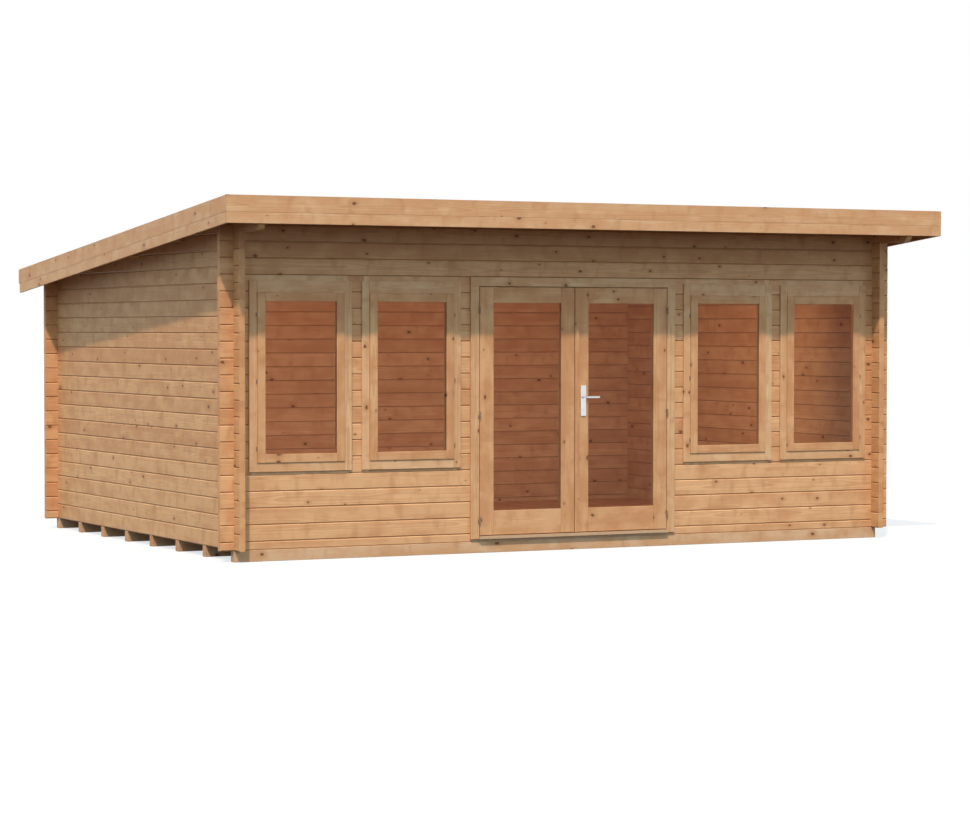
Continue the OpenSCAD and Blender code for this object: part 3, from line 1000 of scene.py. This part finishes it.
@dataclass(frozen=True)
class Spindle:
    """The bore that the levers' spindle turns in."""

    x: float = 0.0675
    z: float = 1.106
    radius: float = 0.0093
    sides: int = 32

    def bored_slab(self, part: Mesh, low: Vector, high: Vector, y: float, thickness: float,
                   corner: float = 0.0) -> None:
        """Start a mesh with an upright slab that the spindle's bore goes through.

        Args:
            part: The mesh.
            low: The slab's lowest corner.
            high: The slab's highest corner.
            y: The place of the slab's front.
            thickness: How thick it is.
            corner: The radius of its corners.
        """
        bmesh.ops.create_grid(part, x_segments=1, y_segments=1, size=0.5)
        bmesh.ops.scale(part, vec=(high.x - low.x, high.z - low.z, 1.0), verts=part.verts)
        if corner:
            ease(part, part.verts[:], corner, segments=5, affect="VERTICES")
        centre = (low + high) / 2
        bore = Matrix.Translation((self.x - centre.x, self.z - centre.z, 0.0))
        bmesh.ops.delete(part, geom=part.faces[:], context="FACES_ONLY")
        bmesh.ops.create_circle(part, segments=self.sides, radius=self.radius, matrix=bore)
        bmesh.ops.triangle_fill(part, use_beauty=True, use_dissolve=False, edges=part.edges[:])
        bmesh.ops.rotate(part, matrix=Matrix.Rotation(QUARTER_TURN, 3, "X"), verts=part.verts)
        bmesh.ops.translate(part, vec=(centre.x, y, centre.z), verts=part.verts)
        grown = bmesh.ops.extrude_face_region(part, geom=part.faces[:], use_keep_orig=True)["geom"]
        back = [v for v in grown if isinstance(v, bmesh.types.BMVert)]
        bmesh.ops.translate(part, vec=(0.0, thickness, 0.0), verts=back)
        bmesh.ops.recalc_face_normals(part, faces=part.faces[:])


@dataclass
class DoorLeaf:
    """One glazed door leaf: stiles, rails and the cover strip of the right leaf."""

    shop: Workshop
    side: Side
    spindle: Spindle = Spindle()
    leaf_t: float = 0.044
    stile_w: float = 0.111
    top_rail: float = 0.114
    bottom_rail: float = 0.174
    meeting_bevel: float = 0.004
    strip_w: float = 0.03
    strip_lap: float = 0.004

    def build(self) -> None:
        """Make the leaf."""
        name = self.side.name.lower()
        low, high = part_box(f"door_leaf_{name}")
        front = low.y
        low.y = high.y - self.leaf_t
        leaf = Timbers(Seed.LEAF.value + self.side.value)
        x0 = low.x + self.stile_w
        x1 = high.x - self.stile_w
        hinge_x, meet_x = (low.x, x1) if self.side is Side.LEFT else (x1, low.x)
        leaf.board((hinge_x, low.y, low.z), (hinge_x + self.stile_w, high.y, high.z), Axis.Z, SOFT_EASE)
        meet_high = Vector((meet_x + self.stile_w, high.y, high.z))
        self.meeting_stile(leaf, Vector((meet_x, low.y, low.z)), meet_high)
        leaf.board((x0, low.y, low.z), (x1, high.y, low.z + self.bottom_rail), Axis.X, SOFT_EASE)
        leaf.board((x0, low.y, high.z - self.top_rail), (x1, high.y, high.z), Axis.X, SOFT_EASE)
        if self.side is Side.RIGHT:
            strip_low = (low.x - self.strip_lap, front, low.z)
            leaf.board(strip_low, (low.x + self.strip_w, low.y, high.z), Axis.Z)
        body = Body.LEFT_LEAF if self.side is Side.LEFT else Body.RIGHT_LEAF
        self.shop.place(leaf.whole, f"{name}_leaf_timbers", body, Slot.JOINERY, "joinery",
                        f"door_leaf_{name}")

    def meeting_stile(self, leaf: Timbers, low: Vector, high: Vector) -> None:
        """Add the stile at the meeting edge, bevelled back, and bored for the spindle on the right leaf.

        Args:
            leaf: The mesh of the leaf.
            low: The stile's lowest corner.
            high: The stile's highest corner.
        """
        edge = high.x if self.side is Side.LEFT else low.x

        def set_back(part: Mesh) -> None:
            """Move the back of the meeting edge away from the other leaf."""
            verts = [v for v in part.verts if abs(v.co.x - edge) < SAME and abs(v.co.y - high.y) < SAME]
            bmesh.ops.translate(part, vec=(self.side.value * self.meeting_bevel, 0.0, 0.0), verts=verts)

        if self.side is Side.LEFT:
            leaf.board(low, high, Axis.Z, SOFT_EASE, set_back)
            return
        part = leaf.blank()
        self.spindle.bored_slab(part, low, high, low.y, high.y - low.y)
        set_back(part)
        long_edges = [e for e in sharp(part) if e.calc_length() > 4 * self.spindle.radius]
        ease(part, long_edges, SOFT_EASE)
        leaf.keep(part, low, high, Axis.Z)


@dataclass
class HingeSet:
    """The hinges of both leaves and the screws in their flaps."""

    shop: Workshop
    flap_w: float = 0.012
    flap_t: float = 0.002
    knuckle_len: float = 0.025
    hinge_foot: float = 0.11
    hinge_head: float = 0.165
    axis_x: float = 0.7745
    screw_r: float = 0.002
    screw_top: float = 0.55
    screw_rise: float = 0.7
    screw_sides: int = 12
    screw_share: float = 0.78
    screw_rows: Pair = (0.28, 0.72)

    def build(self) -> None:
        """Dress the hinges and set their screws."""
        self.shop.dress("hinge_metal", "hinges_frame", "hinges_leaf_left", "hinges_leaf_right")
        low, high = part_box("door_leaf_left")
        face = low.y - self.flap_t
        reach = self.flap_w * self.screw_share
        parts = {body: bmesh.new() for body in (Body.CABIN, Body.LEFT_LEAF, Body.RIGHT_LEAF)}
        for side, body in ((Side.LEFT, Body.LEFT_LEAF), (Side.RIGHT, Body.RIGHT_LEAF)):
            outer = side.value * (self.axis_x + reach)
            inner = side.value * (self.axis_x - reach)
            for z in spaced(low.z, high.z, self.hinge_foot, self.hinge_head):
                for row in self.screw_rows:
                    away = self.knuckle_len * row
                    self.screw(parts[Body.CABIN], Vector((outer, face, z - away)))
                    self.screw(parts[body], Vector((inner, face, z + away)))
        for body, mesh in parts.items():
            self.shop.place(mesh, f"hinge_screws_{body.value}", body, Slot.HINGE, "hinge_metal")

    def screw(self, mesh: Mesh, place: Vector) -> None:
        """Add a domed screw head that faces the front.

        Args:
            mesh: The mesh of screws.
            place: The head's middle.
        """
        matrix = Matrix.Translation(place) @ Matrix.Rotation(QUARTER_TURN, 4, "X")
        made = bmesh.ops.create_cone(mesh, cap_ends=True, segments=self.screw_sides, radius1=self.screw_r,
                                     radius2=self.screw_r * self.screw_top,
                                     depth=self.screw_r * self.screw_rise, matrix=matrix)
        bmesh.ops.recalc_face_normals(mesh, faces=list({f for v in made["verts"] for f in v.link_faces}))


@dataclass
class HandleSet:
    """The handle plates, the lock cylinder and the levers on the right leaf."""

    shop: Workshop
    spindle: Spindle = Spindle()
    plate_t: float = 0.008
    plate_ease: float = 0.0012
    corner_r: float = 0.007
    lock_drop: float = 0.085
    lock_r: float = 0.0085
    lock_h: float = 0.004
    screw_r: float = 0.0036
    screw_h: float = 0.0012
    screw_end: float = 0.016
    stud_sides: int = 24
    stud_sink: float = 0.001
    stud_ease: float = 0.3
    neck_r: float = 0.0088
    neck_sides: int = 24
    grip_len: float = 0.132
    grip_ease: float = 0.00546
    bend_r: float = 0.02
    bend_steps: int = 10

    def build(self) -> None:
        """Make the plates and the levers."""
        low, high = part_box("handle_plates")
        plates = bmesh.new()
        for y in (low.y, high.y - self.plate_t):
            self.plate(plates, low, high, y)
        studs = (
            (self.spindle.z - self.lock_drop, self.lock_r, self.lock_h),
            (low.z + self.screw_end, self.screw_r, self.screw_h),
            (high.z - self.screw_end, self.screw_r, self.screw_h),
        )
        for y, way in ((low.y, -1), (high.y, 1)):
            for z, radius, height in studs:
                self.stud(plates, Vector((self.spindle.x, y, z)), way, radius, height)
        self.shop.place(plates, "handle_plate_pair", Body.RIGHT_LEAF, Slot.HANDLE, "handle_metal",
                        "handle_plates")
        lever_low, lever_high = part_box("door_lever")
        levers = bmesh.new()
        self.lever(levers, low.y, lever_low.y + self.neck_r, -1)
        self.lever(levers, high.y, lever_high.y - self.neck_r, 1)
        self.shop.place(levers, "lever_pair", Body.LEVER, Slot.HANDLE, "handle_metal", "door_lever")

    def plate(self, mesh: Mesh, low: Vector, high: Vector, y: float) -> None:
        """Add one plate with rounded corners and the bore for the spindle.

        Args:
            mesh: The mesh of the plates.
            low: The lowest corner of the pair.
            high: The highest corner of the pair.
            y: The place of the plate's front.
        """
        part = bmesh.new()
        self.spindle.bored_slab(part, low, high, y, self.plate_t, self.corner_r)
        rim = [e for e in sharp(part) if abs(e.verts[0].co.y - e.verts[1].co.y) < SAME]
        ease(part, rim, self.plate_ease)
        add_part(mesh, part)

    def stud(self, mesh: Mesh, foot: Vector, way: int, radius: float, height: float) -> None:
        """Add a short round stud that stands on a plate.

        Args:
            mesh: The mesh of the plates.
            foot: The middle of its foot.
            way: The sign of Y that it points along.
            radius: Its radius.
            height: Its height.
        """
        part = bmesh.new()
        place = foot + Vector((0.0, way * (height - self.stud_sink) / 2, 0.0))
        matrix = Matrix.Translation(place) @ Matrix.Rotation(QUARTER_TURN, 4, "X")
        bmesh.ops.create_cone(part, cap_ends=True, segments=self.stud_sides, radius1=radius,
                              radius2=radius, depth=height + self.stud_sink, matrix=matrix)
        ease(part, sharp(part), height * self.stud_ease)
        add_part(mesh, part)

    def lever(self, mesh: Mesh, foot: float, axis: float, way: int) -> None:
        """Add one lever: neck, bend and grip swept from a circle.

        Args:
            mesh: The mesh of the levers.
            foot: The place along Y of the plate's face.
            axis: The place along Y of the grip's middle.
            way: The sign of Y that the neck points along.
        """
        part = bmesh.new()
        inside = foot - way * self.plate_t / 2
        bend_y = axis - way * self.bend_r
        place = Matrix.Translation((self.spindle.x, inside, self.spindle.z))
        bmesh.ops.create_circle(part, cap_ends=True, segments=self.neck_sides, radius=self.neck_r,
                                matrix=place @ Matrix.Rotation(QUARTER_TURN, 4, "X"))
        rim = self.sweep(part, part.edges[:], Vector((0.0, bend_y - inside, 0.0)))
        centre = Vector((self.spindle.x + self.bend_r, bend_y, self.spindle.z))
        turned = bmesh.ops.spin(part, geom=rim, cent=centre, axis=(0.0, 0.0, -way), angle=-QUARTER_TURN,
                                steps=self.bend_steps, use_merge=False, use_duplicate=False)["geom_last"]
        rim = [e for e in turned if isinstance(e, bmesh.types.BMEdge)]
        rim = self.sweep(part, rim, Vector((self.grip_len - self.bend_r, 0.0, 0.0)))
        cap = bmesh.ops.contextual_create(part, geom=rim)["faces"]
        ease(part, list(cap[0].edges), self.grip_ease, segments=5)
        bmesh.ops.recalc_face_normals(part, faces=part.faces[:])
        for face in part.faces:
            face.smooth = True
        add_part(mesh, part)

    @staticmethod
    def sweep(part: Mesh, rim: list, step: Vector) -> list:
        """Extrude a rim of edges along a straight step.

        Args:
            part: The mesh.
            rim: The edges.
            step: How far they go.

        Returns:
            The edges of the new rim.
        """
        grown = bmesh.ops.extrude_edge_only(part, edges=rim)["geom"]
        bmesh.ops.translate(part, vec=step, verts=[v for v in grown if isinstance(v, bmesh.types.BMVert)])
        return [e for e in grown if isinstance(e, bmesh.types.BMEdge)]


@dataclass
class PentRoof:
    """The purlins, roof boards, felt and fascia."""

    shop: Workshop
    wall_foot: float = 0.08
    front_y: float = -1.7525
    front_h: float = 2.34025
    fall: float = 0.3535
    run: float = 3.8
    deck_t: float = 0.019
    play: float = 0.00005
    cover_t: float = 0.004
    board_w: float = 0.096
    joint: float = 0.0008
    purlin_w: float = 0.044
    purlin_h: float = 0.11
    purlin_count: int = 3
    arm_len: float = 0.46
    purlin_inset: float = 0.06
    fascia_t: float = 0.02
    fascia_top: float = 0.025
    fascia_upper: float = 0.112
    fascia_lower: float = 0.075
    fascia_step: float = 0.001
    fascia_ease: float = 0.0004
    felt_w: float = 0.98
    felt_lap: float = 0.08
    felt_ease: float = 0.0006
    felt_cuts: int = 20

    def lean(self) -> Matrix:
        """Work out what moves a level piece up to the roof and leans it with the roof's fall.

        Returns:
            The move.
        """
        matrix = Matrix.Identity(4)
        slope = self.fall / self.run
        matrix[2][1] = -slope
        matrix[2][3] = self.wall_foot + self.front_h + slope * self.front_y
        return matrix

    def build(self) -> None:
        """Make the roof from its purlins up."""
        low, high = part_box("roof_deck")
        self.purlins(low.x, high.x)
        self.boards(low, high)
        self.felt(low, high)
        self.fascia()

    def purlins(self, x0: float, x1: float) -> None:
        """Make the purlins.

        Args:
            x0: The place of their left ends.
            x1: The place of their right ends.
        """
        beams = Timbers(Seed.PURLINS.value)
        step = self.run / (self.purlin_count + 1)
        half = self.purlin_w / 2
        places = [self.front_y - self.arm_len + self.purlin_inset]
        places += [self.front_y + step * (i + 1) for i in range(self.purlin_count)]
        for y in places:
            low = (x0, y - half, -self.purlin_h)
            beams.board(low, (x1, y + half, 0.0), Axis.X, SOFT_EASE, lean=self.lean())
        self.shop.place(beams.whole, "purlin_beams", Body.CABIN, Slot.BOARDS, "board_wood", "purlins")

    def boards(self, low: Vector, high: Vector) -> None:
        """Make the roof boards.

        Args:
            low: The lowest corner of the deck.
            high: The highest corner of the deck.
        """
        deck = Timbers(Seed.ROOF_BOARDS.value)
        deck.row((low.x, low.y, self.play), (high.x, high.y, self.deck_t), self.board_w, self.joint,
                 SOFT_EASE, self.lean())
        self.shop.place(deck.whole, "roof_boards", Body.CABIN, Slot.BOARDS, "board_wood", "roof_deck")

    def felt(self, low: Vector, high: Vector) -> None:
        """Lay strips of felt from the back up, each lapping the one below it.

        Args:
            low: The lowest corner of the deck.
            high: The highest corner of the deck.
        """
        strips = bmesh.new()
        step = self.felt_w - self.felt_lap
        count = math.ceil((high.y - low.y - self.felt_lap) / step)
        half_t = self.cover_t / 2
        for i in range(count):
            y1 = high.y - i * step
            y0 = max(low.y, y1 - self.felt_w)
            part = bmesh.new()
            block(part, Vector((low.x, y0, self.deck_t)), Vector((high.x, y1, self.deck_t + half_t)))
            ease(part, part.edges[:], self.felt_ease, segments=1)
            if i:
                sides = [e for e in part.edges if abs(e.verts[0].co.y - e.verts[1].co.y) > self.felt_lap]
                bmesh.ops.subdivide_edges(part, edges=sides, cuts=self.felt_cuts, use_grid_fill=True)
                lifted = [v for v in part.verts if v.co.y > y1 - self.felt_lap]
                bmesh.ops.translate(part, vec=(0.0, 0.0, half_t), verts=lifted)
            bmesh.ops.transform(part, matrix=self.lean(), verts=part.verts)
            add_part(strips, part)
        self.shop.place(strips, "felt_strips", Body.CABIN, Slot.ROOF, "roof_felt", "roof_covering")

    def fascia(self) -> None:
        """Make the fascia boards: an upper one on each side, and a lower one on all but the back."""
        joint = self.fascia_top - self.fascia_upper
        foot = joint - self.fascia_lower
        rows = (
            ("upper", Seed.UPPER_FASCIA, 0.0, joint, self.fascia_top),
            ("lower", Seed.LOWER_FASCIA, self.fascia_step, foot, joint - self.play),
        )
        front_low, front_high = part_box("fascia_front_upper")
        front = front_low.y
        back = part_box("fascia_back_upper")[1].y
        half = front_high.x
        inner = half - self.fascia_t
        ends = (front + self.fascia_t, back - self.fascia_t)
        for row, seed, inset, z0, z1 in rows:
            spans = {
                "front": (inset - half, half - inset, front + inset, ends[0], Axis.X),
                "back": (inset - half, half - inset, ends[1], back - inset, Axis.X),
                "left": (inset - half, -inner, *ends, Axis.Y),
                "right": (inner, half - inset, *ends, Axis.Y),
            }
            for number, (side, (x0, x1, y0, y1, lies)) in enumerate(spans.items()):
                if (side, row) == ("back", "lower"):
                    continue
                board = Timbers(seed.value + number)
                board.board((x0, y0, z0), (x1, y1, z1), lies, self.fascia_ease, lean=self.lean())
                self.shop.place(board.whole, f"fascia_{side}_{row}_board", Body.CABIN, Slot.FASCIA,
                                "fascia_wood", f"fascia_{side}_{row}")


@dataclass
class Studio:
    """The pale floor, the soft light and the camera of the photograph."""

    scene: bpy.types.Scene
    floor_half: float = 150.0
    floor_colour: Colour = (0.8, 0.8, 0.8)
    bounce_colour: Colour = (0.05, 0.043, 0.03)
    shadow_fade: float = 0.72
    sky_colour: Colour = (0.67, 0.855, 0.98)
    sky_strength: float = 1.22
    sky_lean: float = 0.25
    sun_colour: Colour = (1.0, 0.825, 0.7)
    sun_strength: float = 3.28
    sun_angle: float = 2.0
    sun_way: Triple = (0.723, 1.0, -1.605)
    room_colour: Colour = (1.0, 0.78, 0.6)
    room_size: Pair = (1.8, 1.4)
    front_lamp: Triple = (0.9, -1.3, 1.3)
    front_power: float = 27.0
    left_lamp: Triple = (-2.4, 0.8, 1.3)
    left_power: float = 17.5
    camera_place: Triple = (-9.9061, -19.7759, 1.5983)
    camera_yaw: float = 0.47126
    camera_pitch: float = -0.03081
    camera_roll: float = 0.0007
    camera_reach: float = 500.0
    lens: float = 105.17
    sensor: float = 36.0

    def build(self) -> None:
        """Set up the floor, the light and the camera."""
        self.scene.view_settings.view_transform = "Standard"
        self.floor()
        self.sky()
        self.sun()
        self.room("front_room_light", self.front_lamp, (0.0, 1.0, 0.0), self.front_power)
        self.room("left_room_light", self.left_lamp, (1.0, 0.0, 0.0), self.left_power)
        self.camera()

    @staticmethod
    def seen(g: Graph) -> Socket:
        """Tell whether a ray comes from the camera, a reflection or through glass.

        Args:
            g: The graph that asks.

        Returns:
            1 where it does and 0 elsewhere.
        """
        path = g.node("LightPath", {}).outputs
        direct = g.math("MAXIMUM", path["Is Camera Ray"], path["Is Glossy Ray"])
        return g.math("MAXIMUM", direct, path["Is Transmission Ray"])

    def floor(self) -> None:
        """Make the floor, which shows pale with a light shadow and sends little light back up."""
        mesh = bmesh.new()
        bmesh.ops.create_grid(mesh, x_segments=1, y_segments=1, size=self.floor_half)
        data = bpy.data.meshes.new("studio_floor")
        mesh.to_mesh(data)
        mesh.free()
        g = Graph(bpy.data.materials.new("studio_floor"))
        g.tree.nodes.remove(g.shader)
        shown = g.node("BsdfDiffuse", {"Color": self.floor_colour}).outputs[0]
        glow = g.node("Emission", {"Color": WHITE, "Strength": 1.0}).outputs[0]
        bounce = g.node("BsdfDiffuse", {"Color": self.bounce_colour}).outputs[0]
        pale = g.node("MixShader", {0: self.shadow_fade, 1: shown, 2: glow}).outputs[0]
        both = g.node("MixShader", {0: self.seen(g), 1: bounce, 2: pale}).outputs[0]
        g.feed(g.tree.nodes["Material Output"].inputs["Surface"], both)
        data.materials.append(g.owner)
        floor = bpy.data.objects.new("studio_floor", data)
        self.scene.collection.objects.link(floor)

    def sky(self) -> None:
        """Light the scene from all round, more from the front than the back, and show white behind it."""
        self.scene.world = bpy.data.worlds.new("studio")
        g = Graph(self.scene.world)
        g.tree.nodes.remove(g.tree.nodes["Background"])
        y = g.split(g.node("TexCoord", {}).outputs["Generated"])[1]
        strength = g.math("MULTIPLY_ADD", y, -self.sky_lean * self.sky_strength, self.sky_strength)
        light = g.node("Background", {"Color": self.sky_colour, "Strength": strength}).outputs[0]
        white = g.node("Background", {"Color": WHITE, "Strength": 1.0}).outputs[0]
        both = g.node("MixShader", {0: self.seen(g), 1: light, 2: white}).outputs[0]
        g.feed(g.tree.nodes["World Output"].inputs["Surface"], both)

    def sun(self) -> None:
        """Add the main light, from the front left."""
        lamp = bpy.data.lights.new("key_light", "SUN")
        lamp.energy = self.sun_strength
        lamp.color = self.sun_colour
        lamp.angle = math.radians(self.sun_angle)
        key = bpy.data.objects.new("key_light", lamp)
        key.rotation_mode = "QUATERNION"
        key.rotation_quaternion = Vector(self.sun_way).to_track_quat("-Z", "Y")
        self.scene.collection.objects.link(key)

    def room(self, name: str, place: Triple, way: Triple, power: float) -> None:
        """Light the room softly, as its pale timber would by passing light on.

        Args:
            name: The lamp's name.
            place: Where the lamp is.
            way: The direction that it shines in.
            power: Its power in watts.
        """
        lamp = bpy.data.lights.new(name, "AREA")
        lamp.shape = "RECTANGLE"
        lamp.size, lamp.size_y = self.room_size
        lamp.energy = power
        lamp.color = self.room_colour
        fill = bpy.data.objects.new(name, lamp)
        fill.matrix_world = Matrix.Translation(place) @ self.facing(Vector(way))
        for seen in ("visible_camera", "visible_glossy", "visible_transmission"):
            setattr(fill, seen, False)
        self.scene.collection.objects.link(fill)

    @staticmethod
    def facing(way: Vector) -> Matrix:
        """Return the turn that points a lamp or a camera along a direction."""
        return way.to_track_quat("-Z", "Y").to_matrix().to_4x4()

    def camera(self) -> None:
        """Put the camera where the photograph was taken from."""
        lens = bpy.data.cameras.new("camera")
        lens.lens = self.lens
        lens.sensor_fit = "HORIZONTAL"
        lens.sensor_width = self.sensor
        lens.clip_end = self.camera_reach
        camera = bpy.data.objects.new("camera", lens)
        flat = math.cos(self.camera_pitch)
        right = math.sin(self.camera_yaw) * flat
        ahead = math.cos(self.camera_yaw) * flat
        turn = self.facing(Vector((right, ahead, math.sin(self.camera_pitch))))
        turn = turn @ Matrix.Rotation(self.camera_roll, 4, "Z")
        camera.matrix_world = Matrix.Translation(self.camera_place) @ turn
        self.scene.collection.objects.link(camera)
        self.scene.camera = camera


def stock_finishes(shop: Workshop) -> None:
    """Make the cabin's finishes.

    Args:
        shop: The workshop that holds them.
    """
    shop.stock(
        LogFinish("front_logs"),
        LogFinish("short_logs", bay=0.424),
        LogFinish("side_logs", pale=(0.7, 0.412, 0.196), ruddy=(0.565, 0.284, 0.124), lies=Axis.Y,
                  stack=Stack.WHOLE, middle=0.0, reach=2.628),
        TimberFinish("joinery", pale=(0.675, 0.385, 0.192), ruddy=(0.54, 0.26, 0.115), knot_rise=0.09,
                     knot_run=0.42, mottle=2.8),
        TimberFinish("casing_wood", pale=(0.735, 0.475, 0.265), ruddy=(0.62, 0.35, 0.17), knot_rise=0.09,
                     knot_run=0.42, mottle=2.4),
        TimberFinish("fascia_wood", pale=(0.7, 0.446, 0.25), ruddy=(0.61, 0.332, 0.164), mottle=2.4),
        TimberFinish("board_wood", roughness=0.68),
        TimberFinish("bearer_wood", pale=(0.71, 0.49, 0.305), ruddy=(0.61, 0.36, 0.19), roughness=0.75,
                     relief=0.4, mottle=2.8),
        GlassFinish("glass"),
        MetalFinish("handle_metal", (0.74, 0.76, 0.76), (0.64, 0.66, 0.66), roughness=0.3),
        MetalFinish("hinge_metal", (0.28, 0.16, 0.08), (0.2, 0.11, 0.055), roughness=0.5, metal=0.0),
        MetalFinish("threshold_metal", (0.5, 0.318, 0.182), (0.41, 0.257, 0.146), roughness=0.55,
                    scratches=(12.0, 700.0, 700.0), metal=0.0),
        FeltFinish("roof_felt"),
    )


def glaze(shop: Workshop) -> None:
    """Dress the glass and let the light in through it.

    Args:
        shop: The workshop that holds the finishes.
    """
    for node in ("window_glass", "door_glass_left", "door_glass_right"):
        shop.dress("glass", node)
        shop.nodes[node].visible_diffuse = False


def clear_stage() -> None:
    """Remove whatever the start-up scene holds."""
    for thing in list(bpy.data.objects):
        bpy.data.objects.remove(thing)


def main() -> None:
    """Build the cabin's classes in order."""
    logging.basicConfig(level=logging.INFO, format="%(message)s")
    clear_stage()
    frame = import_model()
    shop = Workshop(frame["nodes"])
    stock_finishes(shop)
    LogShell(shop).build()
    GroundFrame(shop).build()
    for number, hung in enumerate((Side.LEFT, Side.RIGHT, Side.LEFT, Side.RIGHT), start=1):
        WindowUnit(shop, number, hung).build()
    DoorFrame(shop).build()
    for side in Side:
        DoorLeaf(shop, side).build()
    HingeSet(shop).build()
    HandleSet(shop).build()
    PentRoof(shop).build()
    glaze(shop)
    Studio(bpy.context.scene).build()


if __name__ == "__main__":
    main()
